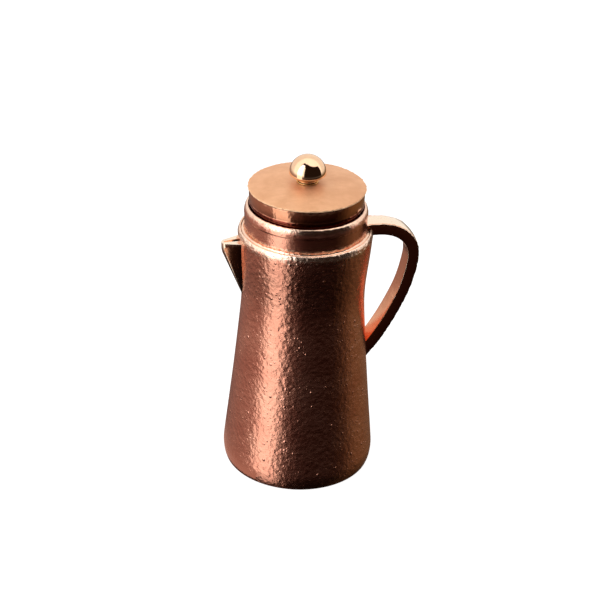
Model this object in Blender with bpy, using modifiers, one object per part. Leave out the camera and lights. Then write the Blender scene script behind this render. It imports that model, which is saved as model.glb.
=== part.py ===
"""Hand-pump milk frother: a waisted copper jug with a spout and a strap handle,
a lift-off lid, and a double-mesh plunger that hangs from a half-ball knob.

Run with blender --background --python part.py, or from Blender's text editor.
The scene is in metres with +Z up. The origin is the centre of the flat underside,
the handle points to +X and the spout to -X. The lengths below are millimetres,
and the helpers turn them into metres when they build a mesh.
"""

import math

import bmesh
import bpy

MM = 0.001
GAP = 0.3                    # left between pieces that touch
STEPS = 48                   # sides of a large turned piece
SMALL_STEPS = 24             # sides of a piece on the rod

# Jug
BODY_TOP = 131.0
BODY_WALL = 1.5
BODY_STATIONS = [            # height, outer radius: flared foot, waist, flared mouth
    (0.0, 38.5), (2.5, 39.3), (8.0, 39.8), (18.0, 38.8), (35.0, 37.0), (55.0, 35.0),
    (75.0, 33.2), (98.0, 31.5), (110.0, 32.3), (122.0, 33.5), (BODY_TOP, 34.1),
]
FOOT_HEIGHTS = [8.0, 5.0, 2.5, 1.0, 0.0]
WALL_HEIGHTS = 13            # heights sampled between the mouth and the foot
BASE_THICKNESS = 1.5
SHOULDER_RADIUS = 34.3
SHOULDER_TOP = 134.0
SHOULDER_BEAD = (33.0, 4.5)  # radius of the crest, depth of the outer rounding
SHOULDER_LIP = 0.4           # radius of the inner rounding
SHELF_RADIUS = 30.5          # inner edge of the shelf that carries the collar
SHELF_THICKNESS = 0.9
SEAM_RADIUS = 32.45          # middle of the fine groove round the shoulder
FLANGE_TOP = 133.4
COLLAR_RADIUS = 31.0
COLLAR_BORE = 28.6
COLLAR_TOP = 147.0
COLLAR_FILLET = 0.9
RIM_RADIUS = 31.2
RIM_BEAD = (29.4, 4.5)       # radius of the crest, depth of the outer rounding
LEDGE_RADIUS = 27.4          # inner bead that the lid's sleeve stands on
LEDGE_TOP = 140.0
LEDGE_THICKNESS = 1.5

# Spout, measured outwards from the axis
SPOUT_ROOT = 33.6
SPOUT_TIP = 42.8
SPOUT_ROOT_TOP = 128.8
SPOUT_TIP_TOP = 128.2
SPOUT_NOSE = 125.0           # height where the tip starts to narrow to the keel
SPOUT_TIP_BOTTOM = 122.6
SPOUT_KEEL_BOTTOM = 99.5
SPOUT_ROOT_HALF = 5.0
SPOUT_TIP_HALF = 2.9
SPOUT_KEEL_HALF = 0.45
SPOUT_ROUND = 0.3
CHANNEL_MOUTH = (29.0, 2.0, 1.5, 117.0)     # radius, half width above, half width below, floor
CHANNEL_MIDDLE = (37.5, 1.1, 0.9, 122.0)
CHANNEL_END = (41.4, 0.6, 0.5, 127.4)
CHANNEL_TOP = 131.5
POUR_HOLE_TOP = 128.4
POUR_HOLE_FLOOR = 118.3
POUR_HOLE_HALF_TOP = 1.9
POUR_HOLE_HALF_FLOOR = 1.5

# Handle: centre line in the XZ plane, from the collar to the lower joint
STRAP_WIDTH = 11.0
STRAP_THICKNESS = 6.4
STRAP_LINE = [               # radius, height
    (28.0, 132.8), (40.0, 132.9), (48.2, 130.4), (53.7, 125.3), (55.9, 118.8),
    (55.4, 111.0), (52.6, 99.0), (48.2, 88.0), (42.7, 77.0), (36.6, 67.1), (29.6, 58.2),
]
STRAP_SAMPLES = 3            # points between two stations of the centre line
STRAP_ROUND = 0.4

# Lid
LID_BOTTOM = 148.0
LID_EDGE_TOP = 157.0
LID_CENTRE_TOP = 159.2
LID_FLAT_RADIUS = 7.6        # under the bush flange and over the washer
LID_DOME = [(LID_FLAT_RADIUS, 159.2), (12.0, 159.0), (18.0, 158.55), (24.0, 157.9)]
LID_RADIUS = 29.5
LID_WALL_RADIUS = 28.7
LID_BEAD_RADIUS = 28.9
LID_BORE = 27.9
LID_THICKNESS = 1.2
SLEEVE_RADIUS = 28.3
SLEEVE_BORE = 27.0
SLEEVE_BOTTOM = LEDGE_TOP + GAP
SPIGOT_TOP = 151.0

# Rod guide in the middle of the lid
BUSH_RADIUS = 3.4
BUSH_FLANGE_RADIUS = 5.6
BUSH_FLANGE_THICKNESS = 0.5
BUSH_BOTTOM = 150.5
WASHER_RADIUS = 7.0
WASHER_THICKNESS = 0.8
BUSH_NUT_FLATS = 10.0
BUSH_NUT_HEIGHT = 3.0

# Plunger
ROD_RADIUS = 2.0
SPIGOT_RADIUS = 1.5          # turned-down and threaded ends of the rod
KNOB_RADIUS = 9.3
KNOB_CENTRE = 164.1
KNOB_UNDERSIDE = [(8.9, 163.3), (7.4, 162.1), (6.0, 161.3), (5.2, 160.9)]  # radius, height
KNOB_NECK_BOTTOM = 160.3
KNOB_BORE_TOP = 168.0
END_NUT_BOTTOM = 6.0
END_NUT_TOP = 11.0
END_NUT_RADIUS = 3.4
END_NUT_BORE_FLOOR = 7.7
FRAME_RADIUS = 24.7
FRAME_THICKNESS = 0.8
FRAME_RIM = 2.2
FRAME_HUB = 5.5
FRAME_WINDOWS = 6
FRAME_SPOKE = 2.4
MESH_THICKNESS = 0.4
RIM_SPRING_RADIUS = 25.8
RIM_SPRING_WIRE = 0.8        # radius of the wound ring
SPACER_RADIUS = 3.5
SPACER_HEIGHT = 9.0
LOCK_NUT_FLATS = 6.0
LOCK_NUT_HEIGHT = 3.0

# Colours, roughness, metallic
CAST_COPPER = ((0.45, 0.17, 0.09), 0.38, 1.0)
BRIGHT_COPPER = ((0.80, 0.42, 0.24), 0.16, 1.0)
BRASS = ((0.70, 0.50, 0.22), 0.30, 1.0)
STEEL = ((0.62, 0.62, 0.60), 0.25, 1.0)
MESH_STEEL = ((0.50, 0.50, 0.49), 0.45, 1.0)


def clear_scene():
    """Remove every object, so that the script can run in any file."""
    for item in list(bpy.data.objects):
        bpy.data.objects.remove(item, do_unlink=True)


def new_collection(name):
    collection = bpy.data.collections.new(name)
    bpy.context.scene.collection.children.link(collection)
    return collection


def finish(item, look):
    """Give an object its own Principled material."""
    colour, roughness, metallic = look
    material = bpy.data.materials.new(item.name)
    material.use_nodes = True
    shader = material.node_tree.nodes["Principled BSDF"]
    shader.inputs["Base Color"].default_value = (*colour, 1.0)
    shader.inputs["Roughness"].default_value = roughness
    shader.inputs["Metallic"].default_value = metallic
    material.diffuse_color = (*colour, 1.0)
    item.data.materials.clear()
    item.data.materials.append(material)


def add_object(name, mesh, collection, parent=None):
    item = bpy.data.objects.new(name, mesh)
    collection.objects.link(item)
    item.parent = parent
    return item


def as_cutter(item):
    item.hide_render = True
    item.display_type = "WIRE"
    return item


def arc(centre, radius, start, end, count, height=None):
    """Points of an arc in a profile: centre (r, z), angles in degrees from +r. With a
    height it is part of an ellipse."""
    height = radius if height is None else height
    points = []
    for index in range(count + 1):
        angle = math.radians(start + (end - start) * index / count)
        points.append((centre[0] + radius * math.cos(angle),
                       centre[1] + height * math.sin(angle)))
    return points


def through(points, samples):
    """Smooth curve through 2D points, with samples steps between neighbours."""
    curve = []
    last = len(points) - 1
    for index in range(last):
        before = points[max(index - 1, 0)]
        start, end = points[index], points[index + 1]
        after = points[min(index + 2, last)]
        for step in range(samples):
            t = step / samples
            curve.append(tuple(
                0.5 * (2 * b + (c - a) * t + (2 * a - 5 * b + 4 * c - d) * t ** 2
                       + (3 * b - a - 3 * c + d) * t ** 3)
                for a, b, c, d in zip(before, start, end, after)))
    curve.append(points[-1])
    return curve


def body_radius(height):
    """Outer radius of the jug's wall at a height, on a smooth curve."""
    stations = BODY_STATIONS
    last = len(stations) - 1

    def slope(index):
        low, high = stations[max(index - 1, 0)], stations[min(index + 1, last)]
        return (high[1] - low[1]) / (high[0] - low[0])

    index = max(i for i in range(last) if stations[i][0] <= height)
    (z0, r0), (z1, r1) = stations[index], stations[index + 1]
    span = z1 - z0
    t = (height - z0) / span
    return ((1 + 2 * t) * (1 - t) ** 2 * r0 + t * (1 - t) ** 2 * span * slope(index)
            + t ** 2 * (3 - 2 * t) * r1 - t ** 2 * (1 - t) * span * slope(index + 1))


def wall_heights():
    """Heights down the jug's wall, from its mouth to the floor."""
    foot = FOOT_HEIGHTS[0]
    upper = [BODY_TOP - (BODY_TOP - foot) * i / WALL_HEIGHTS for i in range(WALL_HEIGHTS)]
    return upper + FOOT_HEIGHTS


def turned(name, outline, collection, parent=None, closed=True, steps=STEPS):
    """Turn an (r, z) outline about Z. It runs down the outer side, and up the inner
    side if it is closed; an open outline starts and ends on the axis."""
    mesh = bpy.data.meshes.new(name)
    count = len(outline)
    edges = [(i, i + 1) for i in range(count - 1)]
    if closed:
        edges.append((count - 1, 0))
    mesh.from_pydata([(r * MM, 0.0, z * MM) for r, z in outline], edges, [])
    item = add_object(name, mesh, collection, parent)
    turn = item.modifiers.new("Turn", "SCREW")
    turn.axis = "Z"
    turn.angle = math.tau
    turn.steps = turn.render_steps = steps
    turn.use_smooth_shade = True
    turn.use_merge_vertices = True
    turn.merge_threshold = 0.000005
    return item


def tube(name, inner, outer, bottom, top, collection, parent=None, steps=STEPS):
    """A plain ring with square edges."""
    outline = [(inner, top), (outer, top), (outer, bottom), (inner, bottom)]
    return turned(name, outline, collection, parent, steps=steps)


def hull(name, points, collection):
    """The convex solid round a set of points."""
    shape = bmesh.new()
    for x, y, z in points:
        shape.verts.new((x * MM, y * MM, z * MM))
    result = bmesh.ops.convex_hull(shape, input=shape.verts)
    spare = [v for v in result["geom_interior"] if isinstance(v, bmesh.types.BMVert)]
    bmesh.ops.delete(shape, geom=spare, context="VERTS")
    bmesh.ops.recalc_face_normals(shape, faces=shape.faces)
    mesh = bpy.data.meshes.new(name)
    shape.to_mesh(mesh)
    shape.free()
    return add_object(name, mesh, collection)


def cut(item, cutter):
    """Take a cutter's shape out of an object."""
    remove = item.modifiers.new("Cut " + cutter.name, "BOOLEAN")
    remove.operation = "DIFFERENCE"
    remove.object = cutter


def round_edges(item, width, segments=2, angle=40):
    bevel = item.modifiers.new("Round edges", "BEVEL")
    bevel.width = width * MM
    bevel.segments = segments
    bevel.limit_method = "ANGLE"
    bevel.angle_limit = math.radians(angle)


def plate(name, outlines, thickness, collection, rotation=(0, 0, 0), height=0.0):
    """A flat plate from closed outlines in its own XY plane, as a mesh object."""
    curve = bpy.data.curves.new(name + " outline", "CURVE")
    curve.dimensions = "2D"
    curve.fill_mode = "BOTH"
    curve.extrude = thickness * MM / 2
    for outline in outlines:
        line = curve.splines.new("POLY")
        line.points.add(len(outline) - 1)
        for point, (x, y) in zip(line.points, outline):
            point.co = (x * MM, y * MM, 0.0, 1.0)
        line.use_cyclic_u = True
    flat = add_object(name + " outline", curve, collection)
    flat.rotation_euler = rotation
    flat.location.z = height * MM
    bpy.context.view_layer.update()
    graph = bpy.context.evaluated_depsgraph_get()
    mesh = bpy.data.meshes.new_from_object(flat.evaluated_get(graph))
    mesh.name = name
    weld = bmesh.new()
    weld.from_mesh(mesh)
    bmesh.ops.remove_doubles(weld, verts=weld.verts, dist=0.000005)
    bmesh.ops.recalc_face_normals(weld, faces=weld.faces)
    weld.to_mesh(mesh)
    weld.free()
    item = add_object(name, mesh, collection)
    item.matrix_world = flat.matrix_world.copy()
    bpy.data.objects.remove(flat, do_unlink=True)
    return item


def circle(radius, count, start=0.0, end=math.tau):
    """Points round a circle, or along a part of one with its two ends."""
    whole = math.isclose(end - start, math.tau)
    steps = count if whole else count - 1
    angles = [start + (end - start) * i / steps for i in range(count)]
    return [(radius * math.cos(a), radius * math.sin(a)) for a in angles]


def hex_nut(name, flats, bore, bottom, height, parts, cutters, parent):
    """A hexagonal nut with a plain bore."""
    shape = bmesh.new()
    bmesh.ops.create_cone(shape, cap_ends=True, segments=6, depth=height * MM,
                          radius1=flats * MM / math.sqrt(3), radius2=flats * MM / math.sqrt(3))
    mesh = bpy.data.meshes.new(name)
    shape.to_mesh(mesh)
    shape.free()
    nut = add_object(name, mesh, parts, parent)
    nut.location.z = (bottom + height / 2) * MM
    drill = turned(name + " drill", [(0, bottom + height + 1), (bore, bottom + height + 1),
                                     (bore, bottom - 1), (0, bottom - 1)],
                   cutters, closed=False, steps=SMALL_STEPS)
    cut(nut, as_cutter(drill))
    return nut


# ---- jug -------------------------------------------------------------------------

def jug_envelope(cutters):
    """The jug's outside, GAP larger, that the handle and the spout are trimmed to."""
    floor = 40.0
    heights = [z for z in wall_heights() if z > floor]
    outline = [(0, COLLAR_TOP + 20), (COLLAR_RADIUS + GAP, COLLAR_TOP + 20),
               (COLLAR_RADIUS + GAP, SHOULDER_TOP + GAP),
               (SHOULDER_RADIUS + GAP, SHOULDER_TOP + GAP),
               (SHOULDER_RADIUS + GAP, BODY_TOP + GAP)]
    outline += [(body_radius(z) + GAP, z) for z in heights]
    outline.append((0, heights[-1]))
    return as_cutter(turned("jug envelope", outline, cutters, closed=False))


def jug_body(parts, cutters):
    heights = wall_heights()
    outer = [(body_radius(z), z) for z in heights]
    inner = [(body_radius(z) - BODY_WALL, z) for z in heights]
    body = turned("jug_body", outer + inner[::-1], parts)
    hole = []
    for radius in (SPOUT_ROOT - 8.0, SPOUT_ROOT + 4.0):
        for side in (-1, 1):
            hole.append((-radius, side * POUR_HOLE_HALF_TOP, POUR_HOLE_TOP))
            hole.append((-radius, side * POUR_HOLE_HALF_FLOOR, POUR_HOLE_FLOOR))
    cut(body, as_cutter(hull("pour hole", hole, cutters)))
    finish(body, CAST_COPPER)


def base_plate(parts):
    radius = body_radius(0.0) - BODY_WALL - GAP
    disc = turned("base_plate", [(0, BASE_THICKNESS), (radius, BASE_THICKNESS),
                                 (radius, 0), (0, 0)], parts, closed=False)
    finish(disc, CAST_COPPER)


def shoulder_ring(parts):
    """The rounded band at the jug's mouth, with the shelf under the collar."""
    bottom = BODY_TOP + GAP
    shelf = bottom + SHELF_THICKNESS
    bead_inner = SEAM_RADIUS + GAP / 2
    crest, depth = SHOULDER_BEAD
    outline = arc((bead_inner + SHOULDER_LIP, SHOULDER_TOP - SHOULDER_LIP), SHOULDER_LIP,
                  180, 90, 3)
    foot = math.degrees(math.asin((bottom - SHOULDER_TOP + depth) / depth))
    outline += arc((crest, SHOULDER_TOP - depth), SHOULDER_RADIUS - crest, 90, foot, 5,
                   depth)
    outline += [(SHELF_RADIUS, bottom), (SHELF_RADIUS, shelf), (bead_inner, shelf)]
    finish(turned("shoulder_ring", outline, parts), CAST_COPPER)


def neck_collar(parts):
    """Flange, wall and rolled rim, with the inner bead that holds the lid up."""
    flange_bottom = BODY_TOP + GAP + SHELF_THICKNESS + GAP
    flange_edge = SEAM_RADIUS - GAP / 2
    ledge_bottom = LEDGE_TOP - LEDGE_THICKNESS
    slope = COLLAR_BORE - LEDGE_RADIUS
    fillet = (COLLAR_RADIUS + COLLAR_FILLET, FLANGE_TOP + COLLAR_FILLET)
    crest, depth = RIM_BEAD
    lip = crest - COLLAR_BORE
    outline = arc((crest, COLLAR_TOP - lip), lip, 180, 90, 3)[:-1]
    outline += arc((crest, COLLAR_TOP - depth), RIM_RADIUS - crest, 90, 0, 6, depth)
    outline += [(COLLAR_RADIUS, COLLAR_TOP - depth - 0.5)]
    outline += arc(fillet, COLLAR_FILLET, 180, 270, 3)
    outline += [(flange_edge, FLANGE_TOP), (flange_edge, flange_bottom),
                (COLLAR_BORE, flange_bottom), (COLLAR_BORE, ledge_bottom - slope),
                (LEDGE_RADIUS, ledge_bottom), (LEDGE_RADIUS, LEDGE_TOP),
                (COLLAR_BORE, LEDGE_TOP)]
    finish(turned("neck_collar", outline, parts), CAST_COPPER)


def spout(parts, cutters, envelope):
    """A beak with a blunt tip and a narrow keel, hollowed from above."""
    inside = SPOUT_ROOT - 5.0
    tip = SPOUT_TIP - SPOUT_TIP_HALF
    points = []
    for side in (-1, 1):
        points.append((-inside, side * (SPOUT_ROOT_HALF + 2.5), SPOUT_ROOT_TOP + 0.5))
        points.append((-inside, side * SPOUT_KEEL_HALF, SPOUT_KEEL_BOTTOM - 9.0))
        points.append((-SPOUT_ROOT, side * SPOUT_ROOT_HALF, SPOUT_ROOT_TOP))
        points.append((-SPOUT_ROOT + 2.0, side * SPOUT_KEEL_HALF, SPOUT_KEEL_BOTTOM))
    for x, y in circle(SPOUT_TIP_HALF, 7, math.pi / 2, 1.5 * math.pi):
        points.append((-tip + x, y, SPOUT_TIP_TOP))
        points.append((-tip + x * 0.98, y * 0.85, SPOUT_NOSE))
        points.append((-tip + x * 0.8, y * 0.4, SPOUT_TIP_BOTTOM))
    beak = hull("spout", points, parts)
    groove = []
    for radius, half_top, half_floor, floor in (CHANNEL_MOUTH, CHANNEL_MIDDLE, CHANNEL_END):
        for side in (-1, 1):
            groove.append((-radius, side * half_top, CHANNEL_TOP))
            groove.append((-radius, side * half_floor, floor))
    cut(beak, envelope)
    cut(beak, as_cutter(hull("pour channel", groove, cutters)))
    round_edges(beak, SPOUT_ROUND, angle=30)
    finish(beak, CAST_COPPER)


def handle(parts, envelope):
    """A flat strap, offset to both sides of its centre line and extruded."""
    line = through(STRAP_LINE, STRAP_SAMPLES)
    outer, inner = [], []
    for index, (x, z) in enumerate(line):
        ahead = line[min(index + 1, len(line) - 1)]
        behind = line[max(index - 1, 0)]
        dx, dz = ahead[0] - behind[0], ahead[1] - behind[1]
        reach = STRAP_THICKNESS / 2 / math.hypot(dx, dz)
        outer.append((x - dz * reach, z + dx * reach))
        inner.append((x + dz * reach, z - dx * reach))
    strap = plate("handle", [outer + inner[::-1]], STRAP_WIDTH, parts,
                  rotation=(math.pi / 2, 0, 0))
    cut(strap, envelope)
    round_edges(strap, STRAP_ROUND)
    finish(strap, BRIGHT_COPPER)


# ---- lid -------------------------------------------------------------------------

def lid_cap(parts, parent):
    bore = BUSH_RADIUS + GAP
    edge = LID_EDGE_TOP
    wall = LID_WALL_RADIUS
    outline = [(bore, LID_CENTRE_TOP), *LID_DOME, (LID_RADIUS - 0.4, edge),
               (LID_RADIUS, edge - 0.4), (LID_RADIUS - 0.1, edge - 1.0),
               (wall, edge - 1.5), (wall, LID_BOTTOM + 1.7), (LID_BEAD_RADIUS, LID_BOTTOM + 1.2),
               (LID_BEAD_RADIUS, LID_BOTTOM + 0.4), (LID_BEAD_RADIUS - 0.4, LID_BOTTOM),
               (LID_BORE, LID_BOTTOM), (LID_BORE, edge - LID_THICKNESS - 0.3),
               (LID_BORE - 0.8, edge - LID_THICKNESS),
               (LID_FLAT_RADIUS, LID_CENTRE_TOP - LID_THICKNESS),
               (bore, LID_CENTRE_TOP - LID_THICKNESS)]
    finish(turned("lid_cap", outline, parts, parent), BRIGHT_COPPER)


def lid_sleeve(parts, parent):
    """The tube that plugs into the collar, with a spigot up inside the lid."""
    shoulder = LID_BOTTOM - GAP
    spigot = LID_BORE - GAP
    outline = [(SLEEVE_BORE, SPIGOT_TOP), (spigot, SPIGOT_TOP), (spigot, shoulder),
               (SLEEVE_RADIUS, shoulder), (SLEEVE_RADIUS, SLEEVE_BOTTOM),
               (SLEEVE_BORE, SLEEVE_BOTTOM)]
    finish(turned("lid_sleeve", outline, parts, parent), CAST_COPPER)


def rod_guide(parts, cutters, parent):
    """Flanged bush, washer and nut in the middle of the lid. Returns the nut's bottom."""
    bore = ROD_RADIUS + GAP
    flange = LID_CENTRE_TOP + GAP
    outline = [(bore, flange + BUSH_FLANGE_THICKNESS),
               (BUSH_FLANGE_RADIUS, flange + BUSH_FLANGE_THICKNESS),
               (BUSH_FLANGE_RADIUS, flange), (BUSH_RADIUS, flange),
               (BUSH_RADIUS, BUSH_BOTTOM), (bore, BUSH_BOTTOM)]
    finish(turned("rod_bush", outline, parts, parent, steps=SMALL_STEPS), BRASS)
    washer_top = LID_CENTRE_TOP - LID_THICKNESS - GAP
    washer_bottom = washer_top - WASHER_THICKNESS
    finish(tube("bush_washer", BUSH_RADIUS + GAP, WASHER_RADIUS, washer_bottom, washer_top,
                parts, parent, SMALL_STEPS), STEEL)
    nut_bottom = washer_bottom - GAP - BUSH_NUT_HEIGHT
    finish(hex_nut("bush_nut", BUSH_NUT_FLATS, BUSH_RADIUS + GAP, nut_bottom, BUSH_NUT_HEIGHT,
                   parts, cutters, parent), BRASS)


# ---- plunger ---------------------------------------------------------------------

def knob(parts, parent):
    """A polished half ball that tapers underneath to a short neck, with a blind bore."""
    ball = arc((0.0, KNOB_CENTRE), KNOB_RADIUS, 90, -2, 9)
    ball[0] = (0.0, KNOB_CENTRE + KNOB_RADIUS)
    bore = SPIGOT_RADIUS + GAP
    outline = ball + KNOB_UNDERSIDE + [(KNOB_UNDERSIDE[-1][0], KNOB_NECK_BOTTOM),
                                       (bore, KNOB_NECK_BOTTOM), (bore, KNOB_BORE_TOP),
                                       (0.0, KNOB_BORE_TOP)]
    finish(turned("knob", outline, parts, parent, closed=False, steps=32), BRIGHT_COPPER)


def plunger_rod(parts, parent, head_top):
    outline = [(0.0, KNOB_BORE_TOP - GAP), (SPIGOT_RADIUS, KNOB_BORE_TOP - GAP),
               (SPIGOT_RADIUS, KNOB_NECK_BOTTOM - GAP), (ROD_RADIUS, KNOB_NECK_BOTTOM - GAP),
               (ROD_RADIUS, head_top + GAP), (SPIGOT_RADIUS, head_top + GAP),
               (SPIGOT_RADIUS, END_NUT_BORE_FLOOR + GAP), (0.0, END_NUT_BORE_FLOOR + GAP)]
    finish(turned("plunger_rod", outline, parts, parent, closed=False, steps=SMALL_STEPS), STEEL)


def screen_frame(name, bottom, parts, parent):
    """A sheet-metal wheel: rim, hub and spokes between windows."""
    outlines = [circle(FRAME_RADIUS, STEPS), circle(SPIGOT_RADIUS + GAP, SMALL_STEPS)]
    outer, inner = FRAME_RADIUS - FRAME_RIM, FRAME_HUB
    for index in range(FRAME_WINDOWS):
        middle = math.tau * (index + 0.5) / FRAME_WINDOWS
        half = math.pi / FRAME_WINDOWS
        far = half - FRAME_SPOKE / 2 / outer
        near = half - FRAME_SPOKE / 2 / inner
        outlines.append(circle(outer, 7, middle - far, middle + far)
                        + circle(inner, 3, middle - near, middle + near)[::-1])
    wheel = plate(name, outlines, FRAME_THICKNESS, parts, height=bottom + FRAME_THICKNESS / 2)
    wheel.parent = parent
    finish(wheel, STEEL)


def screen(prefix, bottom, parts, parent):
    """A frame, its wire mesh and the wound ring round the edge. Returns the top."""
    mesh_bottom = bottom + FRAME_THICKNESS + GAP
    mesh_top = mesh_bottom + MESH_THICKNESS
    screen_frame(prefix + "_screen_frame", bottom, parts, parent)
    finish(tube(prefix + "_mesh_screen", SPIGOT_RADIUS + GAP, FRAME_RADIUS, mesh_bottom,
                mesh_top, parts, parent), MESH_STEEL)
    ring = arc((RIM_SPRING_RADIUS, (bottom + mesh_top) / 2), RIM_SPRING_WIRE, 90, -210, 5)
    finish(turned(prefix + "_rim_spring", ring, parts, parent), STEEL)
    return mesh_top


def plunger_head(parts, cutters, parent):
    """The stack of screens on the end of the rod. Returns the lock nut's top."""
    bore = SPIGOT_RADIUS + GAP
    dome = arc((0.0, END_NUT_BOTTOM + END_NUT_RADIUS), END_NUT_RADIUS, 0, -90, 4)
    dome[-1] = (0.0, END_NUT_BOTTOM)
    outline = [(0.0, END_NUT_BORE_FLOOR), (bore, END_NUT_BORE_FLOOR), (bore, END_NUT_TOP),
               (END_NUT_RADIUS, END_NUT_TOP)] + dome
    finish(turned("end_nut", outline, parts, parent, closed=False, steps=SMALL_STEPS), STEEL)
    top = screen("lower", END_NUT_TOP + GAP, parts, parent)
    spacer_bottom = top + GAP
    spacer_top = spacer_bottom + SPACER_HEIGHT
    finish(tube("screen_spacer", bore, SPACER_RADIUS, spacer_bottom, spacer_top, parts,
                parent, SMALL_STEPS), STEEL)
    nut_bottom = screen("upper", spacer_top + GAP, parts, parent) + GAP
    finish(hex_nut("lock_nut", LOCK_NUT_FLATS, bore, nut_bottom, LOCK_NUT_HEIGHT, parts,
                   cutters, parent), STEEL)
    return nut_bottom + LOCK_NUT_HEIGHT


def travel(name, collection, parent=None):
    """An empty on the upright axis that carries everything that slides together."""
    return add_object(name, None, collection, parent)


clear_scene()
frother = new_collection("milk frother")
cutter_shapes = new_collection("cutters")

outside = jug_envelope(cutter_shapes)
jug_body(frother, cutter_shapes)
base_plate(frother)
shoulder_ring(frother)
neck_collar(frother)
spout(frother, cutter_shapes, outside)
handle(frother, outside)

lid_travel = travel("lid travel", frother)
lid_cap(frother, lid_travel)
lid_sleeve(frother, lid_travel)
rod_guide(frother, cutter_shapes, lid_travel)

plunger_travel = travel("plunger travel", frother, lid_travel)
knob(frother, plunger_travel)
stack_top = plunger_head(frother, cutter_shapes, plunger_travel)
plunger_rod(frother, plunger_travel, stack_top)
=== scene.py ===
import math

import bmesh
import bpy
from mathutils import Matrix, Vector, noise


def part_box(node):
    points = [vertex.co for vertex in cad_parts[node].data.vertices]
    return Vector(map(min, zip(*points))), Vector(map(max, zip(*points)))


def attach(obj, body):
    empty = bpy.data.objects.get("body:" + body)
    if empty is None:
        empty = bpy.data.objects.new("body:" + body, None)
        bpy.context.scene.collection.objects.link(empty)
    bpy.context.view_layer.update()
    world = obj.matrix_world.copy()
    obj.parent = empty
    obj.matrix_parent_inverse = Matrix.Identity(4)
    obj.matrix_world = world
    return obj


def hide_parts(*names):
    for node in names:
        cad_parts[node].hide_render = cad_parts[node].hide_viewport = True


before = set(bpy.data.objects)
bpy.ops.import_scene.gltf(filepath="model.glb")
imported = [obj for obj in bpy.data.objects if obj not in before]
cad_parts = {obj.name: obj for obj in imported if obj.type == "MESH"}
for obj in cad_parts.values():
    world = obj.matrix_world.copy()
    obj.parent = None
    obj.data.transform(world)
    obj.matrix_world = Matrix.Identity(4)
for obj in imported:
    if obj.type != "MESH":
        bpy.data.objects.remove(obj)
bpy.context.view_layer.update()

# A hand-pump milk frother, in metres unless a note says otherwise.
MM = 0.001
TINY = 0.000002  # about the CAD meshes' precision
scene = bpy.context.scene
scene.view_settings.view_transform = "Standard"
scene.view_settings.look = "None"

# Camera, in metres in the model's frame
CAMERA_PLACE = Vector((-0.15039, -0.70753, 0.49010))
CAMERA_TARGET = Vector((-0.00135, 0.00029, 0.09196))
CAMERA_ROLL = math.radians(2.23)
CAMERA_LENS = 96.0
CAMERA_HEADING = math.atan2(CAMERA_PLACE.y, CAMERA_PLACE.x)

# Studio light. Turn is the angle round from the photographer's side, with the left
# negative, and rise is the height above the horizon, both in degrees. A pair is either
# where a card or box lies, or where one brightness gives way to the next.
BACK_WALL = (1.00, 0.96, 0.92)
CEILING = (1.45, 1.40, 1.35)
CEILING_RISE = math.radians(25)  # height of its middle, on the photographer's side
CEILING_EDGE = (-0.18, 0.04)  # cosine of the angle from there over which it starts
LOW_WALL = [  # turn, colour below the horizon
    (-180, (0.10, 0.065, 0.050)), (-164, (0.13, 0.085, 0.07)), (-150, (0.27, 0.185, 0.16)),
    (-120, (0.31, 0.208, 0.18)), (-76, (0.33, 0.213, 0.182)), (-30, (0.10, 0.055, 0.045)),
    (0, (0.024, 0.012, 0.010)), (20, (0.015, 0.006, 0.004)), (62, (0.013, 0.005, 0.003)),
    (80, (0.05, 0.030, 0.016)), (100, (0.15, 0.095, 0.045)), (130, (0.17, 0.110, 0.052)),
    (150, (0.18, 0.12, 0.07)), (165, (0.16, 0.11, 0.07)), (180, (0.10, 0.065, 0.050)),
]
LOW_WALL_GAIN = 1.25
FADE_RISE = 60  # it has faded this far below the horizon
LOW_WALL_FADE = [(0.22, 0.14), (0.40, 0.48), (0.56, 0.84), (0.68, 0.96)]  # share of the way up
LOW_WALL_TOP = (-16, 2)  # rise over which it gives way to the walls above
CARD_COLOUR = (0.016, 0.009, 0.006)  # dark card behind the photographer
CARD_TURN = (-22, 92)
CARD_BESIDE_TURN = (-74, 92)  # its upper part reaches further left
CARD_BESIDE_RISE = (50, 85)
CARD_TOP, CARD_SLOPE = 73.0, -0.40  # its top edge, lower towards the right
CARD_FOOT = (-18, -8)
BOX_TURN, BOX_RISE = (-67, -33), (-53, 60)  # softbox on the left
BOX_BRIGHT, BOX_BRIGHT_RISE = (2.7, 2.8, 3.0), (-12, 8)
BOX_MIDDLE, BOX_MIDDLE_RISE = (1.50, 1.42, 1.32), (-48, -26)
BOX_FAINT = (0.86, 0.78, 0.72)
RIM_COLOUR, RIM_TURN, RIM_RISE = (0.55, 0.46, 0.40), (-179, -172), (-50, -10)

# Floor
FLOOR_HALF = 6.0
FLOOR_SHINE, FLOOR_GREY = 0.90, 0.28
FLOOR_DROP, GLOW_DROP = 0.05 * MM, 0.03 * MM  # below the foot
GLOW_TURN, GLOW_STEPS = (-172, -34), 48
GLOW_NEAR, GLOW_FULL, GLOW_FAR = 39.5 * MM, 41.5 * MM, 60.0 * MM  # it fades from full to far
GLOW_COLOUR = (0.46, 0.32, 0.27, 1)

# Finer rounding than the CAD has
SHARP_TURN = math.radians(38)  # a corner that turns more than this is sharp
STRAIGHT_TURN = 0.004  # one that turns less is no corner
ARC_STEP = math.radians(10)
BLEND = 0.5 * MM  # how far brazed pieces run into the wall behind them
PAST = 1.0 * MM  # how far a cutter runs past what it cuts


# ---- node trees ----

def add_node(tree, kind, inputs=None, **settings):
    """A shader node with its settings, and inputs that are sockets or plain values."""
    made = tree.nodes.new(kind)
    for key, value in settings.items():
        setattr(made, key, value)
    for key, value in (inputs or {}).items():
        if isinstance(value, bpy.types.NodeSocket):
            tree.links.new(value, made.inputs[key])
        else:
            made.inputs[key].default_value = value
    return made


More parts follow.
